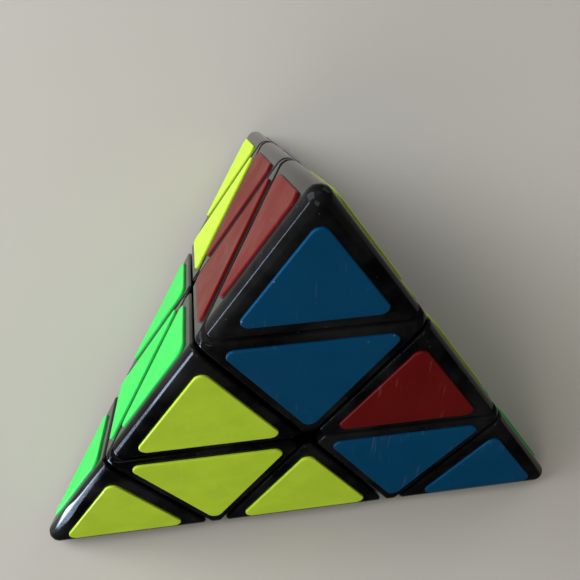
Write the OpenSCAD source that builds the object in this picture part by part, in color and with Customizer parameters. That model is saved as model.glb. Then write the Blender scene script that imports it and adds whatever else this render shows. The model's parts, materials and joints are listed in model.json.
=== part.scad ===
// Pyramid twisty puzzle: four turning layers and four turning tips on a spring-loaded core.
// Every cut is a plane square to one of the four axes that run from the centre to a corner.

/* [Pyramid] */
// Length of a long edge of the pyramid, measured between its sharp corners
side = 104; // [98:1:130]
// Radius that rounds the long edges and the four outer corners
edge_round = 2; // [1.5:0.1:3.4]
// Width of the groove between two pieces that turn past each other
cut_gap = 0.7; // [0.5:0.05:1]
// Distance from a face's middle to the blunted corner of each piece that meets there
centre_trim = 2.6; // [1:0.1:3.2]

/* [Coloured tiles] */
// Thickness of a tile, which stands proud of the black plastic
tile_thick = 0.4; // [0.2:0.05:1.2]
// Corner radius of a tile
tile_round = 1.4; // [0.5:0.1:2]
// Flat plastic left between a tile and the rounding of a long edge
tile_rim_flat = 0.65; // [0:0.05:1.5]
// Plastic left between a tip tile and the groove below the tip
tip_tile_gap = 3.1; // [1.5:0.1:4]
// Plastic left between an axial tile and the grooves around it
axial_tile_gap = 2; // [1:0.1:3]
// Plastic left between an edge tile and the two grooves beside it
edge_tile_gap = 2.4; // [1.5:0.1:3.5]

/* [Edge feet] */
// Depth that the hidden ball of feet reaches into the edge shells, past their inner ridges
foot_reach = 5.1; // [4.2:0.1:5.3]
// Inner radius of the feet
foot_inner_r = 10.6; // [10.2:0.1:12]
// Height above the centre of the planes that part the feet
foot_cut = 2.2; // [1.8:0.1:3]
// Gap between the foot ball and the hollow that it slides in
ball_gap = 0.6; // [0.3:0.05:0.9]
// Radius of the peg that joins a foot to its edge shell
peg_r = 2.9; // [2:0.1:3]
// Depth of a peg's socket in its edge shell
peg_grip = 7; // [4:0.5:8]

/* [Core, screws and springs] */
// Radius of the ball in the middle of the core
core_r = 7.5; // [6:0.1:8.5]
// Radius of a core arm
arm_r = 3.4; // [2.6:0.1:3.8]
// Distance from the centre to the end of a core arm
arm_end = 9.7; // [9:0.1:9.9]
// Radius of a screw's shank
screw_r = 1.5; // [1.2:0.1:1.6]
// Radius of a screw's head
screw_head_r = 3; // [2.4:0.1:3.2]
// Height of a screw's head
screw_head_h = 2.2; // [1.5:0.1:2.6]
// Distance from the centre to a screw's inner end
screw_start = 4; // [3:0.5:6]
// Thickness of the washer under a screw's head
washer_thick = 0.5; // [0.3:0.1:0.8]
// Wire thickness of a spring
spring_wire = 0.7; // [0.5:0.05:0.9]
// Turns in a spring
spring_turns = 6; // [4:1:8]

/* [Turning fits] */
// Radial play of a turning piece on its shaft
turn_play = 0.08; // [0.05:0.01:0.1]
// Gap between hidden pieces that pass each other without touching
pass_gap = 0.15; // [0.1:0.05:0.3]
// Gap round a screw's head in the pocket that also holds the spring
head_play = 0.5; // [0.3:0.05:0.6]
// Depth of a screw's head below the outer end of the hub
head_recess = 0.6; // [0.2:0.1:1]
// Wall of an axial's hub round the pocket; a tip turns on the outside of it
hub_wall = 1.1; // [0.9:0.1:1.3]
// Distance from the centre to the bottom of the spring pocket
pocket_floor = 21.5; // [20:0.5:24]
// How far the lip that a tip snaps over stands out from the hub
lip_step = 0.6; // [0.4:0.05:0.8]
// Height of the snap lip
lip_h = 1.6; // [1.2:0.1:2]
// Thickness of a tip's floor, which the lip holds down
tip_floor = 2; // [1.5:0.1:2.5]
// Wall thickness of the hollow tips, axials and edge shells
wall = 2; // [1.5:0.1:2.4]

/* [Hidden] */
$fn = 48;

BLACK = [0.05, 0.05, 0.06];
BLUE = [0.02, 0.27, 0.47];
RED = [0.58, 0.10, 0.09];
YELLOW = [0.76, 0.87, 0.24];
GREEN = [0.27, 0.80, 0.36];
STEEL = [0.72, 0.73, 0.75];
BRASS = [0.80, 0.66, 0.36];

// The four corners, and the faces, each called by the corner that it lies opposite
TOP = 0;
LEFT = 1;
RIGHT = 2;
BACK = 3;
FRONT_FACE = BACK;
LEFT_FACE = RIGHT;
RIGHT_FACE = LEFT;
BOTTOM_FACE = TOP;

corners = [0 : 3];
corner_azimuth = [0, 210, 330, 90];
corner_sine = sqrt(8) / 3;
function corner_dir(k) = k == TOP
    ? [0, 0, 1]
    : [corner_sine * cos(corner_azimuth[k]), corner_sine * sin(corner_azimuth[k]), -1 / 3];
function unit(v) = v / norm(v);

// Levels along a corner axis, all from the centre of the pyramid
pyramid_h = side * sqrt(2 / 3);
reach = pyramid_h * 3 / 4;
face_level = pyramid_h / 4;
tip_cut = pyramid_h * 5 / 12;
layer_cut = pyramid_h / 12;
half_gap = cut_gap / 2;
// A face is three equal rows tall: two grooves cross it at its middle and a row above
face_row = side * sqrt(3) / 6;
// Distance from the centre to the middle of a corner's rounding
round_seat = reach - 3 * edge_round;
// Distance from a sharp long edge to the tiles beside it
tile_rim_gap = edge_round * sqrt(2) + tile_rim_flat;

// An edge shell's inner ridge is where the planes of its two layers cross
edge_sine = sqrt(2 / 3);
edge_cosine = sqrt(1 / 3);
foot_outer_r = (layer_cut + half_gap) / edge_cosine + foot_reach;
cavity_r = foot_outer_r + ball_gap;
peg_start = (foot_inner_r + foot_outer_r) / 2;
peg_end = cavity_r + peg_grip;
socket_wall = 1.5;
// The screw's head sets the pocket, the pocket the hub, and the hub the lip
pocket_r = screw_head_r + head_play;
hub_r = pocket_r + hub_wall;
lip_r = hub_r + lip_step;
// Width of the ring-shaped opening round an axial's hub
vent = 3.2;
hub_start = arm_end + pass_gap;
axial_top = tip_cut - half_gap;
tip_floor_top = tip_cut + half_gap + tip_floor;
lip_base = tip_floor_top + pass_gap;
lip_top = lip_base + lip_h;
screw_head_base = lip_top - head_recess - screw_head_h;
washer_base = screw_head_base - washer_thick;
// Gap between a spring's end and what it presses on
spring_rest = 0.02;
// The rounding solid is slightly oversize, so that the flat faces come from exact planes
round_over = 1.012;
block = 3 * side;
// Length by which a cut runs on past the surface that it opens
past = 1;

// Carries children to a point, with their +Z along up and their +X towards ahead
module facing(point, up, ahead) {
    x = unit(ahead - (ahead * up) * up);
    y = cross(up, x);
    multmatrix([
        [x[0], y[0], up[0], point[0]],
        [x[1], y[1], up[1], point[1]],
        [x[2], y[2], up[2], point[2]],
        [0, 0, 0, 1]
    ]) children();
}

// Children's +Z runs from the centre out through corner k, and their +X towards another corner
ahead_of = [LEFT, RIGHT, LEFT, LEFT];
module along(k) facing([0, 0, 0], corner_dir(k), corner_dir(ahead_of[k])) children();

// Children's +Z runs from the centre out through the middle of the edge between two corners
module along_edge(k, j)
    facing([0, 0, 0], unit(corner_dir(k) + corner_dir(j)), unit(corner_dir(k) - corner_dir(j)))
        children();

// Directions to the four corners in the frame of a piece whose +Z runs through its own corner
corner_frame = concat(
    [[0, 0, 1]],
    [for (a = [0, 120, 240]) [corner_sine * cos(a), corner_sine * sin(a), -1 / 3]]
);
// The same in the frame of a piece whose +Z runs through the middle of its own edge
edge_frame = [
    [edge_sine, 0, edge_cosine],
    [-edge_sine, 0, edge_cosine],
    [0, edge_sine, -edge_cosine],
    [0, -edge_sine, -edge_cosine]
];
// Places in a frame's list: a corner piece's own corner and the others, an edge's ends and sides
own = 0;
others = [1 : 3];
ends = [0, 1];
sides = [2, 3];
function side_across(n) = sides[0] + sides[1] - n;

// A block that fills all space further out than the level along a direction
module beyond(direction, level)
    facing([0, 0, 0], direction, [direction[1], direction[2], direction[0]])
        translate([-block / 2, -block / 2, level]) cube(block);

// The same for all space nearer than the level
module below(direction, level) beyond(-direction, -level);

// Direction in a face's plane from its middle towards a corner; face is the opposite corner
function in_face(face, corner) = unit(corner + face / 3);

// A ball round the centre, with its poles and its seam turned away from a piece's +Z
module ball(r) rotate([0, 90, 0]) sphere(r);

// The whole pyramid with rounded edges and exact flat faces
module pyramid(frame)
    intersection() {
        hull()
            for (corner = frame)
                translate(corner * round_seat)
                    sphere(edge_round * round_over, $fn = 32);
        intersection_for(corner = frame) beyond(corner, -face_level);
    }

// ---------- Tips ----------
// The room inside a tip, which ends short of its rounded point
module tip_room()
    intersection() {
        beyond(corner_frame[own], tip_floor_top);
        below(corner_frame[own], round_seat - wall);
        intersection_for(n = others) beyond(corner_frame[n], -face_level + wall);
    }

module tip()
    color(BLACK)
        difference() {
            intersection() {
                pyramid(corner_frame);
                beyond(corner_frame[own], tip_cut + half_gap);
            }
            tip_room();
            translate([0, 0, tip_cut]) cylinder(r = hub_r + turn_play, h = 2 * tip_floor);
        }

// ---------- Axials ----------
// The eight-faced block of an axial, with every flat side moved in by inset
module axial_block(inset)
    intersection() {
        beyond(corner_frame[own], layer_cut + half_gap + inset);
        below(corner_frame[own], tip_cut - half_gap - inset);
        intersection_for(n = others)
            intersection() {
                below(corner_frame[n], layer_cut - half_gap - inset);
                beyond(corner_frame[n], -face_level + inset);
            }
    }

// The room inside an axial, split by three ribs that carry the hub
module axial_room()
    difference() {
        union() {
            axial_block(wall);
            translate([0, 0, axial_top - wall - past])
                cylinder(r = hub_r + vent, h = wall + 2 * past);
        }
        ball(cavity_r + wall);
        cylinder(r = hub_r, h = reach);
        for (a = [0, 120, 240])
            rotate(a) translate([0, -wall / 2, 0]) cube([side, wall, axial_top]);
    }

module axial()
    color(BLACK)
        difference() {
            union() {
                difference() {
                    intersection() {
                        pyramid(corner_frame);
                        axial_block(0);
                        intersection_for(n = others)
                            beyond(in_face(corner_frame[n], corner_frame[own]), centre_trim);
                    }
                    ball(cavity_r);
                    axial_room();
                }
                translate([0, 0, hub_start]) cylinder(r = hub_r, h = lip_top - hub_start);
                translate([0, 0, lip_base]) cylinder(r = lip_r, h = lip_h);
            }
            cylinder(r = screw_r + turn_play, h = pocket_floor + past);
            translate([0, 0, pocket_floor]) cylinder(r = pocket_r, h = reach);
        }

// ---------- Edges ----------
// The four-faced block between two layers, with every flat side moved in by inset
module edge_block(inset)
    intersection() {
        intersection_for(n = ends) beyond(edge_frame[n], layer_cut + half_gap + inset);
        intersection_for(n = sides) beyond(edge_frame[n], -face_level + inset);
    }

// The room inside an edge shell, open towards the foot ball, around the peg's socket. The socket's
// seam is turned off the lines where the room's flat walls meet it head on.
module edge_room()
    difference() {
        edge_block(wall);
        rotate(45) cylinder(r = peg_r + socket_wall, h = peg_end + socket_wall);
    }

module edge_shell()
    color(BLACK)
        difference() {
            intersection() {
                pyramid(edge_frame);
                edge_block(0);
                intersection_for(n = sides)
                    beyond(-in_face(edge_frame[side_across(n)], edge_frame[n]), centre_trim);
            }
            ball(cavity_r);
            edge_room();
            cylinder(r = peg_r, h = peg_end);
        }

module edge_foot()
    color(BLACK) {
        intersection() {
            difference() {
                ball(foot_outer_r);
                ball(foot_inner_r);
            }
            intersection_for(n = ends) beyond(edge_frame[n], foot_cut + half_gap);
            intersection_for(n = sides) below(edge_frame[n], foot_cut - half_gap);
        }
        translate([0, 0, peg_start]) cylinder(r = peg_r, h = peg_end - peg_start);
    }

// ---------- Coloured tiles ----------
// A rounded triangle of the given height lying on a face, pointing from its middle along point_dir
module tile(face, middle, point_dir, tile_h, colour)
    color(colour)
        facing(middle - corner_dir(face) * face_level, -corner_dir(face), point_dir)
            linear_extrude(tile_thick)
                hull()
                    for (a = [0, 120, 240])
                        rotate(a) translate([tile_h * 2 / 3 - 2 * tile_round, 0])
                            circle(tile_round, $fn = 24);

module tip_tile(k, face, colour) {
    tile_h = face_row - tip_tile_gap - 2 * tile_rim_gap;
    out = in_face(corner_dir(face), corner_dir(k));
    tile(face, out * (face_row + tip_tile_gap + tile_h / 3), out, tile_h, colour);
}

module axial_tile(k, face, colour) {
    tile_h = face_row - 3 * axial_tile_gap;
    out = in_face(corner_dir(face), corner_dir(k));
    tile(face, out * (face_row - axial_tile_gap - tile_h / 3), -out, tile_h, colour);
}

// The edge lies opposite corner m on this face
module edge_tile(m, face, colour) {
    tile_h = face_row - tile_rim_gap - 2 * edge_tile_gap;
    out = in_face(corner_dir(face), corner_dir(m));
    tile(face, -out * (face_row - tile_rim_gap - tile_h / 3), out, tile_h, colour);
}

// ---------- Core, screws, washers and springs ----------
module core()
    color("dimgray")
        difference() {
            union() {
                sphere(core_r);
                for (k = corners) along(k) cylinder(r = arm_r, h = arm_end);
            }
            for (k = corners) along(k) translate([0, 0, screw_start]) cylinder(r = screw_r, h = reach);
        }

module screw() {
    slot = 0.6;
    difference() {
        union() {
            translate([0, 0, screw_start]) cylinder(r = screw_r, h = screw_head_base - screw_start);
            translate([0, 0, screw_head_base]) cylinder(r = screw_head_r, h = screw_head_h);
        }
        for (a = [0, 90])
            rotate(a) translate([-screw_r, -slot / 2, screw_head_base + screw_head_h / 2])
                cube([2 * screw_r, slot, screw_head_h]);
    }
}

module core_screws() color(STEEL) for (k = corners) along(k) screw();

module core_washers()
    color(BRASS)
        for (k = corners)
            along(k) translate([0, 0, washer_base])
                difference() {
                    cylinder(r = pocket_r - pass_gap, h = washer_thick);
                    translate([0, 0, -past])
                        cylinder(r = screw_r + turn_play, h = washer_thick + 2 * past);
                }

// A coil of round wire, swept as a ring of points at each step along the helix
module spring_coil(length) {
    wire_sides = 6;
    steps_a_turn = 14;
    steps = spring_turns * steps_a_turn;
    wire_r = spring_wire / 2;
    coil_r = (screw_r + pocket_r) / 2;
    points = [
        for (i = [0 : steps], s = [0 : wire_sides - 1])
            let (
                turn = 360 * i / steps_a_turn,
                r = coil_r + wire_r * cos(360 * s / wire_sides),
                z = wire_r + (length - spring_wire) * i / steps + wire_r * sin(360 * s / wire_sides)
            )
            [r * cos(turn), r * sin(turn), z]
    ];
    skin = [
        for (i = [0 : steps - 1], s = [0 : wire_sides - 1])
            let (n = (s + 1) % wire_sides, a = i * wire_sides, b = a + wire_sides)
            [a + s, a + n, b + n, b + s]
    ];
    first_end = [for (s = [wire_sides - 1 : -1 : 0]) s];
    last_end = [for (s = [0 : wire_sides - 1]) steps * wire_sides + s];
    polyhedron(points, concat([first_end], skin, [last_end]), convexity = 6);
}

module core_springs()
    color(STEEL)
        for (k = corners)
            along(k) translate([0, 0, pocket_floor + spring_rest])
                spring_coil(washer_base - pocket_floor - 2 * spring_rest);

// ---------- Assembly ----------
core();
core_screws();
core_washers();
core_springs();

along(TOP) axial();  // top_axial
along(LEFT) axial();  // left_axial
along(RIGHT) axial();  // right_axial
along(BACK) axial();  // back_axial

along(TOP) tip();  // top_tip
along(LEFT) tip();  // left_tip
along(RIGHT) tip();  // right_tip
along(BACK) tip();  // back_tip

along_edge(TOP, LEFT) edge_shell();  // front_left_edge
along_edge(TOP, RIGHT) edge_shell();  // front_right_edge
along_edge(TOP, BACK) edge_shell();  // back_edge
along_edge(LEFT, RIGHT) edge_shell();  // bottom_front_edge
along_edge(LEFT, BACK) edge_shell();  // bottom_left_edge
along_edge(RIGHT, BACK) edge_shell();  // bottom_right_edge

along_edge(TOP, LEFT) edge_foot();  // front_left_foot
along_edge(TOP, RIGHT) edge_foot();  // front_right_foot
along_edge(TOP, BACK) edge_foot();  // back_foot
along_edge(LEFT, RIGHT) edge_foot();  // bottom_front_foot
along_edge(LEFT, BACK) edge_foot();  // bottom_left_foot
along_edge(RIGHT, BACK) edge_foot();  // bottom_right_foot

tip_tile(TOP, FRONT_FACE, BLUE);  // top_tip_tile_front
tip_tile(TOP, LEFT_FACE, RED);  // top_tip_tile_left
tip_tile(TOP, RIGHT_FACE, YELLOW);  // top_tip_tile_right
tip_tile(LEFT, FRONT_FACE, YELLOW);  // left_tip_tile_front
tip_tile(LEFT, LEFT_FACE, GREEN);  // left_tip_tile_left
tip_tile(LEFT, BOTTOM_FACE, RED);  // left_tip_tile_bottom
tip_tile(RIGHT, FRONT_FACE, BLUE);  // right_tip_tile_front
tip_tile(RIGHT, RIGHT_FACE, GREEN);  // right_tip_tile_right
tip_tile(RIGHT, BOTTOM_FACE, RED);  // right_tip_tile_bottom
tip_tile(BACK, LEFT_FACE, YELLOW);  // back_tip_tile_left
tip_tile(BACK, RIGHT_FACE, BLUE);  // back_tip_tile_right
tip_tile(BACK, BOTTOM_FACE, GREEN);  // back_tip_tile_bottom

axial_tile(TOP, FRONT_FACE, BLUE);  // top_axial_tile_front
axial_tile(TOP, LEFT_FACE, RED);  // top_axial_tile_left
axial_tile(TOP, RIGHT_FACE, YELLOW);  // top_axial_tile_right
axial_tile(LEFT, FRONT_FACE, YELLOW);  // left_axial_tile_front
axial_tile(LEFT, LEFT_FACE, GREEN);  // left_axial_tile_left
axial_tile(LEFT, BOTTOM_FACE, RED);  // left_axial_tile_bottom
axial_tile(RIGHT, FRONT_FACE, BLUE);  // right_axial_tile_front
axial_tile(RIGHT, RIGHT_FACE, GREEN);  // right_axial_tile_right
axial_tile(RIGHT, BOTTOM_FACE, RED);  // right_axial_tile_bottom
axial_tile(BACK, LEFT_FACE, YELLOW);  // back_axial_tile_left
axial_tile(BACK, RIGHT_FACE, BLUE);  // back_axial_tile_right
axial_tile(BACK, BOTTOM_FACE, GREEN);  // back_axial_tile_bottom

edge_tile(RIGHT, FRONT_FACE, YELLOW);  // front_left_edge_tile_front
edge_tile(BACK, LEFT_FACE, GREEN);  // front_left_edge_tile_left
edge_tile(LEFT, FRONT_FACE, RED);  // front_right_edge_tile_front
edge_tile(BACK, RIGHT_FACE, YELLOW);  // front_right_edge_tile_right
edge_tile(LEFT, LEFT_FACE, RED);  // back_edge_tile_left
edge_tile(RIGHT, RIGHT_FACE, BLUE);  // back_edge_tile_right
edge_tile(TOP, FRONT_FACE, YELLOW);  // bottom_front_edge_tile_front
edge_tile(BACK, BOTTOM_FACE, BLUE);  // bottom_front_edge_tile_bottom
edge_tile(TOP, LEFT_FACE, GREEN);  // bottom_left_edge_tile_left
edge_tile(RIGHT, BOTTOM_FACE, RED);  // bottom_left_edge_tile_bottom
edge_tile(TOP, RIGHT_FACE, BLUE);  // bottom_right_edge_tile_right
edge_tile(LEFT, BOTTOM_FACE, GREEN);  // bottom_right_edge_tile_bottom
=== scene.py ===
"""Pyramid twisty puzzle: the looks of its shells, tiles and core, and the stage that shows it."""

import json
import math

import bmesh
import bpy
from bpy.props import FloatProperty, FloatVectorProperty, IntProperty, PointerProperty
from mathutils import Matrix, Vector


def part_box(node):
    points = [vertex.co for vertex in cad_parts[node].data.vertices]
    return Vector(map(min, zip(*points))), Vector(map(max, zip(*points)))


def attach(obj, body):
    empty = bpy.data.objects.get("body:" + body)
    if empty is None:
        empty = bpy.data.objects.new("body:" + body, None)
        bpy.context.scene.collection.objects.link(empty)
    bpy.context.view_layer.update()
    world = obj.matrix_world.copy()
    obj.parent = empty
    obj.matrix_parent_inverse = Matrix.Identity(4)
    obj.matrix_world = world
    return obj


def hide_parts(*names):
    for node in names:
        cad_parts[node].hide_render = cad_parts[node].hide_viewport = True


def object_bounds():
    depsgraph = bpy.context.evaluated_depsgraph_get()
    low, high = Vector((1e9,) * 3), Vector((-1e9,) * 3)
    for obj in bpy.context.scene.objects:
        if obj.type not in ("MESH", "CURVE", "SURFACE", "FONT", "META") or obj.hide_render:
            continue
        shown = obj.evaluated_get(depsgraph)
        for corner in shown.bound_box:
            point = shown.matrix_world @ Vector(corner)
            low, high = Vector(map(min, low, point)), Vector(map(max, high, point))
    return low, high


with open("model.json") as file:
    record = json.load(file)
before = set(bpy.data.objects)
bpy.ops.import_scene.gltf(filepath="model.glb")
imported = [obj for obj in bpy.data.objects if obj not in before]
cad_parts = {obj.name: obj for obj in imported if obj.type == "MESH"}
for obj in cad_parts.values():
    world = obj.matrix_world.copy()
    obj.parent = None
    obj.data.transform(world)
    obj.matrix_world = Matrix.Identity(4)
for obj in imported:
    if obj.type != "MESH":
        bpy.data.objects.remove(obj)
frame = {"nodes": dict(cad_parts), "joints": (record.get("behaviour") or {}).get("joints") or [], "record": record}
CAD_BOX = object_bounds()

bl_info = {
    "name": "Pyramid Twisty Puzzle",
    "version": (1, 0, 0),
    "blender": (4, 5, 0),
    "location": "View3D > Sidebar > Puzzle",
    "description": "Rounded shells, coloured tiles and a sprung core for a pyramid twisty puzzle",
    "category": "Object",
}

MM = 0.001
# Two faces that meet at more than this are shaded with a sharp edge between them.
SHARP_ANGLE = math.radians(38)
# Vertices of a CAD mesh that lie closer than this are one.
WELD = 0.0005 * MM
# Edges shorter than this are left over from a Boolean and are closed up.
SLIVER = 0.001 * MM
# A shell with fewer faces than this means that its Boolean failed.
FEWEST_FACES = 100
# How far a visual shell stays inside its CAD solid, so that the two never share a face.
CLEAR = 0.012 * MM
# How far a tile's foot is let into the plastic under it.
TILE_SEAT = 0.03 * MM
# Specular level of the black and coloured plastics; 0.5 would be a plain plastic's.
PLASTIC_GLOSS = 0.08
PLASTIC_IOR = 1.45

# Each corner's direction from the centre is the axis that its layer turns about.
CORNERS = {
    joint["name"].removesuffix("_layer_turn"): Vector(joint["axis"]).normalized()
    for joint in frame["joints"]
    if joint["name"].endswith("_layer_turn")
}

# A face lies opposite one corner, and an edge piece lies between two.
OPPOSITE = {"front": "back", "left": "right", "right": "left", "bottom": "top"}
EDGES = {
    "front_left_edge": ("top", "left"),
    "front_right_edge": ("top", "right"),
    "back_edge": ("top", "back"),
    "bottom_front_edge": ("left", "right"),
    "bottom_left_edge": ("left", "back"),
    "bottom_right_edge": ("right", "back"),
}

# The bottom tiles lie on the flat underside, so they give its level and their own thickness.
TILE_LOW, TILE_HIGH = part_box("bottom_front_edge_tile_bottom")
FACE_LEVEL = -TILE_HIGH.z
TILE_THICK = TILE_HIGH.z - TILE_LOW.z
PYRAMID_HEIGHT = 4 * FACE_LEVEL
REACH = PYRAMID_HEIGHT * 3 / 4
TIP_CUT = PYRAMID_HEIGHT * 5 / 12
LAYER_CUT = PYRAMID_HEIGHT / 12


# ---------------------------------------------------------------- settings


class ShellSizes(bpy.types.PropertyGroup):
    """Rounding of the black shells."""

    edge_round: FloatProperty(
        name="Long Edge Round",
        description="Radius that rounds the pyramid's long edges and outer corners",
        default=2 * MM,
        min=1 * MM,
        max=3.4 * MM,
        unit="LENGTH",
        precision=4,
    )
    cut_gap: FloatProperty(
        name="Cut Gap",
        description="Width of the groove between two pieces, where its walls are straight",
        default=0.7 * MM,
        min=0.2 * MM,
        max=1 * MM,
        unit="LENGTH",
        precision=4,
    )
    lip_round: FloatProperty(
        name="Groove Lip Round",
        description="Radius of the rounded lip on each side of a groove",
        default=0.5 * MM,
        min=0.1 * MM,
        max=1 * MM,
        unit="LENGTH",
        precision=4,
    )
    centre_trim: FloatProperty(
        name="Centre Trim",
        description="Distance from a face's middle to the blunted corners that meet there",
        default=2.6 * MM,
        min=1 * MM,
        max=3.2 * MM,
        unit="LENGTH",
        precision=4,
    )


class TileSizes(bpy.types.PropertyGroup):
    """Shape of the coloured tiles."""

    corner_round: FloatProperty(
        name="Corner Round",
        description="Radius of a tile's three corners, seen square on",
        default=1.4 * MM,
        min=0.5 * MM,
        max=2 * MM,
        unit="LENGTH",
        precision=4,
    )
    rim_round: FloatProperty(
        name="Rim Round",
        description="Radius of the rounded rim round a tile's top",
        default=0.2 * MM,
        min=0.05 * MM,
        max=0.5 * MM,
        unit="LENGTH",
        precision=5,
    )
    crown: FloatProperty(
        name="Crown",
        description="Height of a tile's middle above its rim",
        default=0.05 * MM,
        min=0,
        max=0.2 * MM,
        unit="LENGTH",
        precision=5,
    )


class PuzzleColours(bpy.types.PropertyGroup):
    """Base colours of the plastics and metals."""

    black: FloatVectorProperty(
        name="Black",
        description="Glossy black plastic of the shells",
        default=(0.0015, 0.0015, 0.0018),
        min=0,
        max=1,
        subtype="COLOR",
    )
    blue: FloatVectorProperty(
        name="Blue",
        description="Blue tiles",
        default=(0.000, 0.061, 0.150),
        min=0,
        max=1,
        subtype="COLOR",
    )
    red: FloatVectorProperty(
        name="Red",
        description="Red tiles",
        default=(0.138, 0.005, 0.004),
        min=0,
        max=1,
        subtype="COLOR",
    )
    yellow: FloatVectorProperty(
        name="Yellow",
        description="Yellow-green tiles",
        default=(0.53, 0.76, 0.038),
        min=0,
        max=1,
        subtype="COLOR",
    )
    green: FloatVectorProperty(
        name="Green",
        description="Green tiles",
        default=(0.035, 0.66, 0.095),
        min=0,
        max=1,
        subtype="COLOR",
    )
    core: FloatVectorProperty(
        name="Core",
        description="Dark grey plastic of the core",
        default=(0.09, 0.09, 0.10),
        min=0,
        max=1,
        subtype="COLOR",
    )
    steel: FloatVectorProperty(
        name="Steel",
        description="Screws and springs",
        default=(0.60, 0.61, 0.63),
        min=0,
        max=1,
        subtype="COLOR",
    )
    brass: FloatVectorProperty(
        name="Brass",
        description="Washers",
        default=(0.72, 0.50, 0.20),
        min=0,
        max=1,
        subtype="COLOR",
    )


class StageSettings(bpy.types.PropertyGroup):
    """Camera and light."""

    azimuth: FloatProperty(
        name="Azimuth",
        description="Direction of the camera round the puzzle",
        default=math.radians(-16.2),
        subtype="ANGLE",
    )
    elevation: FloatProperty(
        name="Elevation",
        description="Height of the camera above the horizon",
        default=math.radians(69.2),
        subtype="ANGLE",
    )
    roll: FloatProperty(
        name="Roll",
        description="Tilt of the camera about its own line of sight",
        default=math.radians(9.4),
        subtype="ANGLE",
    )
    distance: FloatProperty(
        name="Distance",
        description="Camera to the point that it looks at",
        default=156.4 * MM,
        unit="LENGTH",
    )
    aim: FloatVectorProperty(
        name="Aim",
        description="The point that the camera looks at",
        default=(1.1 * MM, 9.8 * MM, 0),
        subtype="TRANSLATION",
        unit="LENGTH",
    )
    lens: FloatProperty(
        name="Lens",
        description="Focal length of the camera",
        default=50.8,
        unit="CAMERA",
    )
    key_power: FloatProperty(
        name="Window Power",
        description="Power of the window-like light at the left",
        default=9.5,
        min=0,
        unit="POWER",
    )
    sky: FloatProperty(
        name="Sky Strength",
        description="Brightness of the soft light from all round",
        default=0.12,
        min=0,
    )
    floor: FloatVectorProperty(
        name="Floor",
        description="Colour of the plain floor",
        default=(0.47, 0.435, 0.385),
        min=0,
        max=1,
        subtype="COLOR",
    )


# ---------------------------------------------------------------- mesh helpers


def mesh_from(bm, name):
    """Turns a bmesh into a smooth mesh whose real corners stay sharp."""
    bmesh.ops.recalc_face_normals(bm, faces=bm.faces)
    mesh = bpy.data.meshes.new(name)
    bm.to_mesh(mesh)
    bm.free()
    for polygon in mesh.polygons:
        polygon.use_smooth = True
    mesh.set_sharp_from_angle(angle=SHARP_ANGLE)
    return mesh


def add_object(name, mesh, material):
    """Links a new object and gives it one material."""
    piece = bpy.data.objects.new(name, mesh)
    bpy.context.scene.collection.objects.link(piece)
    piece.data.materials.clear()
    piece.data.materials.append(material)
    return piece


def even_flats(piece):
    """Keeps large flat faces flat in shading beside their rounded borders."""
    modifier = piece.modifiers.new("even flats", "WEIGHTED_NORMAL")
    modifier.mode = "FACE_AREA"
    modifier.weight = 80
    modifier.keep_sharp = True


def facing(point, up, ahead):
    """Matrix that carries +Z to up and +X towards ahead, at a point."""
    up = up.normalized()
    x = (ahead - ahead.dot(up) * up).normalized()
    y = up.cross(x)
    return Matrix.Translation(point) @ Matrix((x, y, up)).transposed().to_4x4()


def hull_of(points):
    """Bmesh of the convex hull of some points."""
    bm = bmesh.new()
    for point in points:
        bm.verts.new(point)
    made = bmesh.ops.convex_hull(bm, input=bm.verts)
    loose = [g for g in made["geom_interior"] if isinstance(g, bmesh.types.BMVert)]
    bmesh.ops.delete(bm, geom=loose, context="VERTS")
    return bm


def ball_directions(fineness, extra=()):
    """Even directions all round, with some exact ones added."""
    bm = bmesh.new()
    bmesh.ops.create_icosphere(bm, subdivisions=fineness, radius=1)
    directions = [v.co.normalized() for v in bm.verts]
    bm.free()
    return directions + [d.normalized() for d in extra]


# ---------------------------------------------------------------- shells


def rounded_block(planes, sizes):
    """A convex block of the rounded pyramid with a rounded lip along each cut.

    Each plane is a direction and a level along it, and the block lies beyond that level.
    """
    lip = sizes.lip_round
    faces = [-corner for corner in CORNERS.values()]
    big = sizes.edge_round - lip
    seats = [corner * (REACH - 3 * sizes.edge_round) for corner in CORNERS.values()]
    bm = hull_of([seat + d * big for seat in seats for d in ball_directions(4, faces)])
    for direction, level in planes:
        bmesh.ops.bisect_plane(
            bm,
            geom=bm.verts[:] + bm.edges[:] + bm.faces[:],
            plane_co=direction * (level + lip + CLEAR),
            plane_no=-direction,
            clear_outer=True,
        )
    core_points = [v.co.copy() for v in bm.verts]
    bm.free()
    normals = faces + [-direction for direction, _ in planes]
    ball = [d * (lip - CLEAR) for d in ball_directions(2, normals)]
    return hull_of([point + offset for point in core_points for offset in ball])


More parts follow.
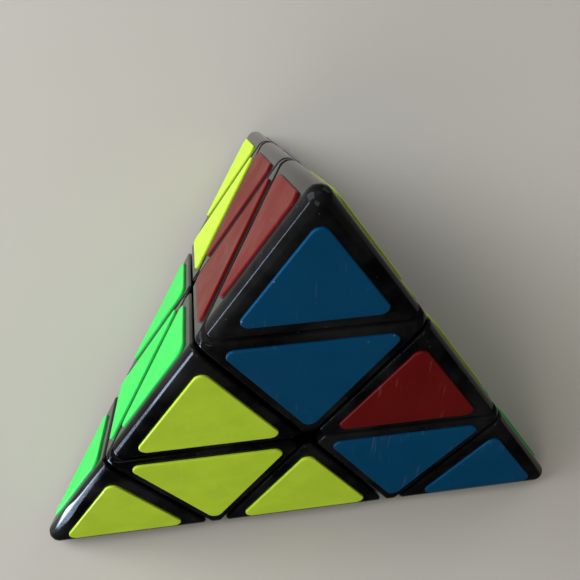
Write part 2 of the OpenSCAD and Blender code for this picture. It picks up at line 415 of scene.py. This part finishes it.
def shaped_shell(name, cad_node, planes, sizes):
    """The CAD shell cut down to a block with rounded lips, as one mesh."""
    block = mesh_from(rounded_block(planes, sizes), name + "_block")
    inside = bmesh.new()
    inside.from_mesh(frame["nodes"][cad_node].data)
    bmesh.ops.remove_doubles(inside, verts=inside.verts, dist=WELD)
    inside_mesh = bpy.data.meshes.new(name + "_inside")
    inside.to_mesh(inside_mesh)
    inside.free()
    tool = bpy.data.objects.new(name + "_tool", inside_mesh)
    bpy.context.scene.collection.objects.link(tool)
    work = bpy.data.objects.new(name + "_work", block)
    bpy.context.scene.collection.objects.link(work)
    cut = work.modifiers.new("insides", "BOOLEAN")
    cut.operation = "INTERSECT"
    cut.solver = "EXACT"
    cut.object = tool
    shaped = bpy.data.meshes.new_from_object(
        work.evaluated_get(bpy.context.evaluated_depsgraph_get())
    )
    for helper in (work, tool):
        bpy.data.objects.remove(helper)
    if len(shaped.polygons) < FEWEST_FACES:
        raise RuntimeError(f"{name}: the shell came out empty")
    bm = bmesh.new()
    bm.from_mesh(shaped)
    bmesh.ops.dissolve_degenerate(bm, edges=bm.edges, dist=SLIVER)
    return mesh_from(bm, name)


def others(*names):
    """The corners not named."""
    return [corner for name, corner in CORNERS.items() if name not in names]


def in_face(face_corner, corner):
    """Direction within a face from its middle towards a corner."""
    return (corner + face_corner / 3).normalized()


def corner_frame(name):
    """Frame of a corner's pieces, with +Z out through the corner."""
    return facing(Vector(), CORNERS[name], others(name)[0])


def edge_frame(first, second):
    """Frame of an edge piece, with +Z out through the middle of its long edge."""
    along = CORNERS[first] - CORNERS[second]
    return facing(Vector(), CORNERS[first] + CORNERS[second], along)


def set_shell(name, mesh, body, placing):
    """Places a copy of a shell and lets it stand for its CAD node."""
    shell = add_object(name + "_shell", mesh.copy(), material_named("black plastic"))
    shell.data.transform(placing)
    even_flats(shell)
    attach(shell, body)
    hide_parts(name)
    return shell


# ---------------------------------------------------------------- tiles


def tile_outline(reach, corner_round, inset, shrink=1.0):
    """Points round a triangle with round corners, moved inwards by inset."""
    corner_steps = 8
    points = []
    for corner in range(3):
        middle_angle = math.radians(120 * corner)
        seat = Vector((math.cos(middle_angle), math.sin(middle_angle))) * (reach - corner_round)
        for step in range(corner_steps + 1):
            angle = middle_angle + math.radians(-60 + 120 * step / corner_steps)
            arm = Vector((math.cos(angle), math.sin(angle))) * (corner_round - inset)
            points.append((seat + arm) * shrink)
    return points


def tile_mesh(name, reach, sizes):
    """A thin tile with a rounded rim and a slightly crowned top, pointing along +X."""
    rim = sizes.rim_round
    rings = [(0.0, 1.0, -TILE_SEAT), (0.0, 1.0, TILE_THICK - rim)]
    for angle in (22.5, 45, 67.5, 90):
        turn = math.radians(angle)
        rise = TILE_THICK - rim + rim * math.sin(turn)
        rings.append((rim * (1 - math.cos(turn)), 1.0, rise))
    for shrink in (0.94, 0.8, 0.6, 0.35):
        rings.append((rim, shrink, TILE_THICK + sizes.crown * (1 - shrink * shrink)))
    bm = bmesh.new()
    loops = []
    for inset, shrink, height in rings:
        outline = tile_outline(reach, sizes.corner_round, inset, shrink)
        loops.append([bm.verts.new((p.x, p.y, height)) for p in outline])
    count = len(loops[0])
    for low, high in zip(loops, loops[1:]):
        for i in range(count):
            j = (i + 1) % count
            bm.faces.new((low[i], low[j], high[j], high[i]))
    bm.faces.new(list(reversed(loops[0])))
    bm.faces.new(loops[-1])
    return mesh_from(bm, name)


def tile_spot(node, face):
    """Where a CAD tile lies: its placing matrix and its reach from its middle to its corners."""
    normal = -CORNERS[OPPOSITE[face]]
    face_middle = normal * FACE_LEVEL
    points = [v.co for v in frame["nodes"][node].data.vertices]
    rough_middle = sum(points, Vector()) / len(points)
    away = rough_middle - face_middle
    ahead = (away - away.dot(normal) * normal).normalized()
    if "_tip_tile_" not in node:
        ahead = -ahead
    turns = [Matrix.Rotation(math.radians(120 * i), 3, normal) for i in range(3)]
    ways = [turn @ ahead for turn in turns]
    extents = [max(p.dot(way) for p in points) for way in ways]
    reach = sum(extents) / 3
    middle = sum(((e - reach) * way for e, way in zip(extents, ways)), Vector()) * 2 / 3
    return facing(middle + face_middle, normal, ahead), reach


# ---------------------------------------------------------------- materials


class Nodes:
    """Short calls that add shader nodes to a material and wire them."""

    def __init__(self, name):
        self.material = bpy.data.materials.new(name)
        self.material.use_nodes = True
        self.tree = self.material.node_tree
        self.shader = self.tree.nodes["Principled BSDF"]

    def add(self, kind, **values):
        node = self.tree.nodes.new(kind)
        for key, value in values.items():
            setattr(node, key, value)
        return node

    def wire(self, source, target):
        self.tree.links.new(source, target)

    def place(self, scale, turn=(0, 0, 0)):
        """Object coordinates, stretched and turned."""
        coordinates = self.add("ShaderNodeTexCoord")
        mapping = self.add("ShaderNodeMapping")
        mapping.inputs["Scale"].default_value = scale
        mapping.inputs["Rotation"].default_value = turn
        self.wire(coordinates.outputs["Object"], mapping.inputs["Vector"])
        return mapping.outputs["Vector"]

    def noise(self, place, scale, detail=3.0, rough=0.55):
        node = self.add("ShaderNodeTexNoise")
        node.inputs["Scale"].default_value = scale
        node.inputs["Detail"].default_value = detail
        node.inputs["Roughness"].default_value = rough
        self.wire(place, node.inputs["Vector"])
        return node.outputs["Fac"]

    def specks(self, place, scale, size):
        """Small dots scattered one to a cell."""
        node = self.add("ShaderNodeTexVoronoi")
        node.inputs["Scale"].default_value = scale
        self.wire(place, node.inputs["Vector"])
        return self.ramp(node.outputs["Distance"], size, 1.0, size * 1.6, 0.0)

    def ramp(self, value, low, low_value, high, high_value):
        """A value eased between two levels."""
        node = self.add("ShaderNodeMapRange")
        node.interpolation_type = "SMOOTHSTEP"
        node.inputs["From Min"].default_value = low
        node.inputs["From Max"].default_value = high
        node.inputs["To Min"].default_value = low_value
        node.inputs["To Max"].default_value = high_value
        self.wire(value, node.inputs["Value"])
        return node.outputs["Result"]

    def times(self, first, second):
        node = self.add("ShaderNodeMath", operation="MULTIPLY")
        self.wire(first, node.inputs[0])
        if isinstance(second, float):
            node.inputs[1].default_value = second
        else:
            self.wire(second, node.inputs[1])
        return node.outputs["Value"]

    def blend(self, amount, first, second):
        """Mix of two colours, each a colour or another node's output."""
        node = self.add("ShaderNodeMix", data_type="RGBA")
        self.wire(amount, node.inputs["Factor"])
        for socket, colour in ((node.inputs[6], first), (node.inputs[7], second)):
            if isinstance(colour, bpy.types.NodeSocket):
                self.wire(colour, socket)
            else:
                socket.default_value = (*colour, 1)
        return node.outputs[2]

    def bump(self, height, strength, depth, onto=None):
        node = self.add("ShaderNodeBump")
        node.inputs["Strength"].default_value = strength
        node.inputs["Distance"].default_value = depth
        self.wire(height, node.inputs["Height"])
        if onto is not None:
            self.wire(onto, node.inputs["Normal"])
        return node.outputs["Normal"]

    def set_gloss(self, level, ior):
        self.shader.inputs["Specular IOR Level"].default_value = level
        self.shader.inputs["IOR"].default_value = ior

    def finish(self, colour, roughness, normal):
        self.wire(colour, self.shader.inputs["Base Color"])
        self.wire(roughness, self.shader.inputs["Roughness"])
        self.wire(normal, self.shader.inputs["Normal"])
        return self.material


def darker(colour, share):
    """A colour scaled towards black."""
    return tuple(c * share for c in colour)


def lighter(colour, share):
    """A colour moved towards white."""
    return tuple(c + (1 - c) * share for c in colour)


def scratches(nodes, turn, density):
    """Fine straight hairline marks in one direction."""
    across = nodes.place((1900, 110, 110), turn)
    lines = nodes.ramp(nodes.noise(across, 1.0, 2.0), 0.5 + density, 0.0, 0.56 + density, 1.0)
    patches = nodes.ramp(nodes.noise(nodes.place((1, 1, 1), turn), 130.0, 1.0), 0.5, 0.0, 0.62, 1.0)
    return nodes.times(lines, patches)


def black_plastic(colour):
    """Glossy moulded black plastic with a faint orange peel, hairlines and a little dust."""
    nodes = Nodes("black plastic")
    even = nodes.place((1, 1, 1))
    smudge = nodes.noise(even, 95.0, 4.0)
    dust = nodes.specks(even, 520.0, 0.045)
    hairs = scratches(nodes, (0.4, 0.3, 0.8), 0.12)
    tone = nodes.blend(nodes.ramp(smudge, 0.35, 0.0, 0.7, 1.0), colour, lighter(colour, 0.012))
    tone = nodes.blend(nodes.times(dust, 0.10), tone, (0.42, 0.42, 0.40))
    rough = nodes.ramp(smudge, 0.3, 0.10, 0.72, 0.13)
    peel = nodes.bump(nodes.noise(even, 420.0, 2.0), 0.03, 0.02 * MM)
    marks = nodes.bump(hairs, 0.25, 0.01 * MM, peel)
    nodes.set_gloss(PLASTIC_GLOSS, PLASTIC_IOR)
    return nodes.finish(tone, rough, marks)


def tile_plastic(name, colour):
    """Satin coloured plastic with a faint mottle, hairline scratches and pale specks of wear."""
    nodes = Nodes(name)
    even = nodes.place((1, 1, 1))
    mottle = nodes.noise(even, 160.0, 5.0)
    tone = nodes.blend(nodes.ramp(mottle, 0.3, 0.0, 0.7, 1.0), darker(colour, 0.9), colour)
    wear = nodes.specks(even, 430.0, 0.05)
    sparse = nodes.ramp(nodes.noise(even, 210.0, 1.0), 0.52, 0.0, 0.6, 1.0)
    tone = nodes.blend(nodes.times(nodes.times(wear, sparse), 0.22), tone, lighter(colour, 0.5))
    first = scratches(nodes, (0, 0, 0.9), 0.11)
    second = scratches(nodes, (0, 0, -0.5), 0.13)
    tone = nodes.blend(nodes.times(first, 0.05), tone, lighter(colour, 0.5))
    rough = nodes.ramp(nodes.noise(even, 75.0, 4.0), 0.3, 0.30, 0.7, 0.44)
    grain = nodes.bump(nodes.noise(even, 900.0, 2.0), 0.10, 0.02 * MM)
    marks = nodes.bump(first, 0.20, 0.010 * MM, grain)
    marks = nodes.bump(second, 0.15, 0.008 * MM, marks)
    nodes.set_gloss(PLASTIC_GLOSS, PLASTIC_IOR)
    return nodes.finish(tone, rough, marks)


def core_plastic(colour):
    """Matte dark grey plastic with a fine moulded grain."""
    nodes = Nodes("core plastic")
    even = nodes.place((1, 1, 1))
    mottle = nodes.noise(even, 220.0, 4.0)
    tone = nodes.blend(mottle, darker(colour, 0.85), lighter(colour, 0.03))
    rough = nodes.ramp(mottle, 0.3, 0.5, 0.7, 0.62)
    grain = nodes.bump(nodes.noise(even, 1500.0, 3.0), 0.25, 0.02 * MM)
    return nodes.finish(tone, rough, grain)


def metal(name, colour, rough_low, rough_high):
    """Bare or plated metal with drawn lines and uneven polish."""
    nodes = Nodes(name)
    even = nodes.place((1, 1, 1))
    lines = nodes.noise(nodes.place((60, 60, 2200)), 1.0, 3.0)
    tone = nodes.blend(nodes.noise(even, 300.0, 3.0), darker(colour, 0.82), colour)
    rough = nodes.ramp(lines, 0.3, rough_low, 0.7, rough_high)
    drawn = nodes.bump(lines, 0.2, 0.01 * MM)
    nodes.shader.inputs["Metallic"].default_value = 1.0
    return nodes.finish(tone, rough, drawn)


def floor_material(colour):
    """Plain pale matt surface with a barely seen unevenness, which mirrors nothing."""
    nodes = Nodes("floor")
    even = nodes.place((1, 1, 1))
    mottle = nodes.noise(even, 9.0, 4.0)
    tone = nodes.blend(mottle, darker(colour, 0.97), colour)
    rough = nodes.ramp(mottle, 0.3, 0.24, 0.7, 0.32)
    grain = nodes.bump(nodes.noise(even, 500.0, 3.0), 0.05, 0.05 * MM)
    nodes.shader.inputs["Specular IOR Level"].default_value = 0
    return nodes.finish(tone, rough, grain)


def material_named(name):
    """Makes a material the first time that it's asked for."""
    if name in bpy.data.materials:
        return bpy.data.materials[name]
    colours = bpy.context.scene.puzzle_colours
    makers = {
        "black plastic": lambda: black_plastic(tuple(colours.black)),
        "blue tile": lambda: tile_plastic("blue tile", tuple(colours.blue)),
        "red tile": lambda: tile_plastic("red tile", tuple(colours.red)),
        "yellow tile": lambda: tile_plastic("yellow tile", tuple(colours.yellow)),
        "green tile": lambda: tile_plastic("green tile", tuple(colours.green)),
        "core plastic": lambda: core_plastic(tuple(colours.core)),
        "steel": lambda: metal("steel", tuple(colours.steel), 0.22, 0.38),
        "spring wire": lambda: metal("spring wire", darker(colours.steel, 0.85), 0.18, 0.3),
        "brass": lambda: metal("brass", tuple(colours.brass), 0.25, 0.42),
    }
    return makers[name]()


def body_of_node(node):
    """The CAD body that a node belongs to."""
    for body, nodes in frame["record"]["behaviour"]["bodies"].items():
        if node in nodes:
            return body
    raise RuntimeError(f"no body holds the node {node}")


# ---------------------------------------------------------------- operators


class PUZZLE_OT_tips(bpy.types.Operator):
    """Add the four outer corner pieces with rounded lips"""

    bl_idname = "puzzle.tips"
    bl_label = "Tips"

    def execute(self, context):
        sizes = context.scene.puzzle_shells
        planes = [(CORNERS["top"], TIP_CUT + sizes.cut_gap / 2)]
        mesh = shaped_shell("tip_shape", "top_tip", planes, sizes)
        mesh.transform(corner_frame("top").inverted())
        for name in CORNERS:
            set_shell(name + "_tip", mesh, name + "_tip", corner_frame(name))
        return {"FINISHED"}


class PUZZLE_OT_axials(bpy.types.Operator):
    """Add the four eight-faced pieces behind the tips"""

    bl_idname = "puzzle.axials"
    bl_label = "Axials"

    def execute(self, context):
        sizes = context.scene.puzzle_shells
        half_gap = sizes.cut_gap / 2
        top = CORNERS["top"]
        planes = [(-top, -TIP_CUT + half_gap), (top, LAYER_CUT + half_gap)]
        planes += [(-corner, -LAYER_CUT + half_gap) for corner in others("top")]
        planes += [(in_face(corner, top), sizes.centre_trim) for corner in others("top")]
        mesh = shaped_shell("axial_shape", "top_axial", planes, sizes)
        mesh.transform(corner_frame("top").inverted())
        for name in CORNERS:
            set_shell(name + "_axial", mesh, name + "_layer", corner_frame(name))
        return {"FINISHED"}


class PUZZLE_OT_edges(bpy.types.Operator):
    """Add the six edge shells and finish their hidden feet"""

    bl_idname = "puzzle.edges"
    bl_label = "Edges and Feet"

    def execute(self, context):
        sizes = context.scene.puzzle_shells
        half_gap = sizes.cut_gap / 2
        first, second = EDGES["back_edge"]
        sides = others(first, second)
        planes = [(CORNERS[end], LAYER_CUT + half_gap) for end in (first, second)]
        planes += [
            (-in_face(face, side), sizes.centre_trim)
            for face, side in (sides, reversed(sides))
        ]
        mesh = shaped_shell("edge_shape", "back_edge", planes, sizes)
        mesh.transform(edge_frame(first, second).inverted())
        for name, ends in EDGES.items():
            set_shell(name, mesh, name, edge_frame(*ends))
            foot = frame["nodes"][name.replace("_edge", "_foot")]
            foot.data.materials.clear()
            foot.data.materials.append(material_named("black plastic"))
        return {"FINISHED"}


class PUZZLE_OT_tiles(bpy.types.Operator):
    """Add every coloured tile, with its rounded rim and worn satin finish"""

    bl_idname = "puzzle.tiles"
    bl_label = "Coloured Tiles"

    def execute(self, context):
        sizes = context.scene.puzzle_tiles
        slots = {s["node"]: s["material_slot"] for s in frame["record"]["subparts"]}
        for node in frame["nodes"]:
            if "_tile_" not in node:
                continue
            placing, reach = tile_spot(node, node.rsplit("_", 1)[1])
            material = material_named(slots[node].replace("_", " "))
            tile = add_object(node + "_face", tile_mesh(node, reach, sizes), material)
            tile.data.transform(placing)
            even_flats(tile)
            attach(tile, body_of_node(node))
            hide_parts(node)
        return {"FINISHED"}


class PUZZLE_OT_core(bpy.types.Operator):
    """Finish the core, screws and washers, and wind the springs"""

    bl_idname = "puzzle.core"
    bl_label = "Core and Springs"

    turns: IntProperty(
        name="Turns",
        description="Turns in a spring",
        default=6,
        min=3,
        max=9,
    )

    def execute(self, context):
        finishes = {"core": "core plastic", "core_screws": "steel", "core_washers": "brass"}
        for node, finish in finishes.items():
            part = frame["nodes"][node]
            part.data.materials.clear()
            part.data.materials.append(material_named(finish))
        for name, corner in CORNERS.items():
            spring = add_object(name + "_spring", self.coil(corner), material_named("spring wire"))
            spring.data.transform(corner_frame(name))
            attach(spring, "core")
            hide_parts("core_springs")
        return {"FINISHED"}

    def coil(self, corner):
        """A round wire wound between the ends of the CAD spring on one axis."""
        own_axis_cosine = 0.9
        wire_sides = 12
        steps_a_turn = 36
        points = [v.co for v in frame["nodes"]["core_springs"].data.vertices]
        own = [p for p in points if p.normalized().dot(corner) > own_axis_cosine]
        low = min(p.dot(corner) for p in own)
        high = max(p.dot(corner) for p in own)
        radii = [(p - p.dot(corner) * corner).length for p in own]
        wire = (max(radii) - min(radii)) / 2
        middle = (max(radii) + min(radii)) / 2
        steps = self.turns * steps_a_turn
        bm = bmesh.new()
        rings = []
        for step in range(steps + 1):
            share = step / steps
            angle = 2 * math.pi * self.turns * share
            height = low + wire + (high - low - 2 * wire) * share
            outward = Vector((math.cos(angle), math.sin(angle), 0))
            centre = outward * middle + Vector((0, 0, height))
            ring = []
            for side in range(wire_sides):
                turn = 2 * math.pi * side / wire_sides
                lift = Vector((0, 0, wire * math.sin(turn)))
                ring.append(bm.verts.new(centre + outward * wire * math.cos(turn) + lift))
            rings.append(ring)
        for near, far in zip(rings, rings[1:]):
            for side in range(wire_sides):
                after = (side + 1) % wire_sides
                bm.faces.new((near[side], near[after], far[after], far[side]))
        bm.faces.new(rings[0])
        bm.faces.new(rings[-1])
        return mesh_from(bm, "spring_coil")


class PUZZLE_OT_stage(bpy.types.Operator):
    """Add the floor, the lights and the camera"""

    bl_idname = "puzzle.stage"
    bl_label = "Stage"

    def execute(self, context):
        settings = context.scene.puzzle_stage
        self.lay_floor(settings)
        self.hang_lights(context, settings)
        self.lay_painted_light_cards()
        self.set_camera(context, settings)
        return {"FINISHED"}

    def lay_floor(self, settings):
        """A wide plain floor that the bottom tiles stand on."""
        half_width = 3
        bm = bmesh.new()
        bmesh.ops.create_grid(bm, x_segments=8, y_segments=8, size=half_width)
        floor = add_object("floor", mesh_from(bm, "floor"), floor_material(tuple(settings.floor)))
        floor.location.z = CAD_BOX[0].z

    def hang_lights(self, context, settings):
        """A tall window-like panel at the left, a ceiling, fills in front and behind, and a sky.

        Each panel has its share of the window's power, its width and height, its place and colour.
        """
        panels = (
            ("window", 1.0, 0.55, 0.70, (-0.62, 0.16, 0.36), (0.88, 0.94, 1.0)),
            ("ceiling", 0.12, 0.60, 0.60, (-0.10, 0.35, 0.95), (1.0, 0.98, 0.95)),
            ("front_fill", 0.30, 0.50, 0.40, (-0.35, -0.68, 0.50), (1.0, 0.97, 0.92)),
            ("back_fill", 0.14, 0.60, 0.50, (0.62, 0.55, 0.40), (1.0, 0.98, 0.95)),
        )
        for name, share, width, height, place, colour in panels:
            light = bpy.data.lights.new(name, "AREA")
            light.energy = settings.key_power * share
            light.shape = "RECTANGLE"
            light.size = width
            light.size_y = height
            light.color = colour
            panel = bpy.data.objects.new(name, light)
            panel.location = place
            panel.rotation_euler = (-Vector(place)).to_track_quat("-Z", "Y").to_euler()
            context.scene.collection.objects.link(panel)
        world = bpy.data.worlds.new("sky")
        world.use_nodes = True
        background = world.node_tree.nodes["Background"]
        background.inputs["Color"].default_value = (0.90, 0.93, 1.0, 1)
        background.inputs["Strength"].default_value = settings.sky
        context.scene.world = world
        context.scene.view_settings.view_transform = "Standard"

    def lay_painted_light_cards(self):
        """Two cards of painted light that only mirror reflections show: a glowing strip and a dark card.

        The strip is a painted highlight: it glows though it is no lamp and draws a line of light on the front
        left edge. It runs out over the floor from the left corner and then rises. The dark card lies in front
        as painted shade: a black sheet that keeps the front face deep in its reflections.
        """
        level = CAD_BOX[0].z + 0.5 * MM
        half_strip = 10 * MM
        strip = (
            (-0.058, -0.032, level),
            (-0.160, -0.052, level),
            (-0.200, -0.052, 0.024),
            (-0.200, -0.039, 0.080),
        )
        points = [(x, y + side * half_strip, z) for x, y, z in strip for side in (-1, 1)]
        faces = [(n, n + 1, n + 3, n + 2) for n in range(0, 2 * len(strip) - 2, 2)]
        # Painted highlight: a glowing card, seen only in reflections, that lays a bright line on the front left
        # edge.
        self.painted_reflection_card("painted_highlight_strip", points, faces, (0.60, 0.76, 1.0), 42.0)
        near, far, half_width = -0.031, -0.45, 0.30
        corners = ((-half_width, far), (half_width, far), (half_width, near), (-half_width, near))
        points = [(x, y, level) for x, y in corners]
        # Painted shade: a black card, seen only in reflections, that stands for shade on the floor in front.
        self.painted_reflection_card("painted_shade_card", points, [(0, 1, 2, 3)], (0.0, 0.0, 0.0), 0.0)

    def painted_reflection_card(self, name, points, faces, colour, strength):
        """A thin card of painted reflection that gloss mirrors but that neither shows, shades nor lights anything.
        """
        nodes = Nodes(name)
        nodes.shader.inputs["Base Color"].default_value = (0, 0, 0, 1)
        nodes.shader.inputs["Roughness"].default_value = 1.0
        nodes.shader.inputs["Emission Color"].default_value = (*colour, 1)
        nodes.shader.inputs["Emission Strength"].default_value = strength
        mesh = bpy.data.meshes.new(name)
        mesh.from_pydata(points, [], faces)
        card = add_object(name, mesh, nodes.material)
        for kind in ("camera", "diffuse", "transmission", "shadow", "volume_scatter"):
            setattr(card, "visible_" + kind, False)

    def set_camera(self, context, settings):
        """A camera that looks down on the front face from a little to its left."""
        azimuth, elevation = settings.azimuth, settings.elevation
        back = Vector(
            (
                math.sin(azimuth) * math.cos(elevation),
                -math.cos(azimuth) * math.cos(elevation),
                math.sin(elevation),
            )
        )
        camera = bpy.data.objects.new("camera", bpy.data.cameras.new("camera"))
        camera.data.lens = settings.lens
        camera.data.sensor_width = 36
        camera.data.clip_start = 0.01
        camera.data.clip_end = 20
        level = (-back).to_track_quat("-Z", "Y").to_matrix().to_4x4()
        tilt = Matrix.Rotation(settings.roll, 4, "Z")
        camera.matrix_world = (
            Matrix.Translation(Vector(settings.aim) + back * settings.distance) @ level @ tilt
        )
        context.scene.collection.objects.link(camera)
        context.scene.camera = camera


class PUZZLE_PT_panel(bpy.types.Panel):
    """Puzzle pieces and settings in the sidebar"""

    bl_idname = "PUZZLE_PT_panel"
    bl_label = "Pyramid Puzzle"
    bl_space_type = "VIEW_3D"
    bl_region_type = "UI"
    bl_category = "Puzzle"

    def draw(self, context):
        layout = self.layout
        layout.use_property_split = True
        for holder in SETTINGS:
            box = layout.box()
            group = getattr(context.scene, holder)
            for name in group.bl_rna.properties.keys():
                if name not in ("rna_type", "name"):
                    box.prop(group, name)
        for operator in OPERATORS:
            layout.operator(operator.bl_idname)


OPERATORS = (
    PUZZLE_OT_tips,
    PUZZLE_OT_axials,
    PUZZLE_OT_edges,
    PUZZLE_OT_tiles,
    PUZZLE_OT_core,
    PUZZLE_OT_stage,
)

SETTINGS = {
    "puzzle_shells": ShellSizes,
    "puzzle_tiles": TileSizes,
    "puzzle_colours": PuzzleColours,
    "puzzle_stage": StageSettings,
}


def register():
    for group in SETTINGS.values():
        bpy.utils.register_class(group)
    for cls in (*OPERATORS, PUZZLE_PT_panel):
        bpy.utils.register_class(cls)
    for name, group in SETTINGS.items():
        setattr(bpy.types.Scene, name, PointerProperty(type=group))


def unregister():
    for name in SETTINGS:
        delattr(bpy.types.Scene, name)
    for cls in (PUZZLE_PT_panel, *reversed(OPERATORS)):
        bpy.utils.unregister_class(cls)
    for group in SETTINGS.values():
        bpy.utils.unregister_class(group)


def main():
    register()
    bpy.ops.puzzle.tips()
    bpy.ops.puzzle.axials()
    bpy.ops.puzzle.edges()
    bpy.ops.puzzle.tiles()
    bpy.ops.puzzle.core()
    bpy.ops.puzzle.stage()


if __name__ == "__main__":
    main()
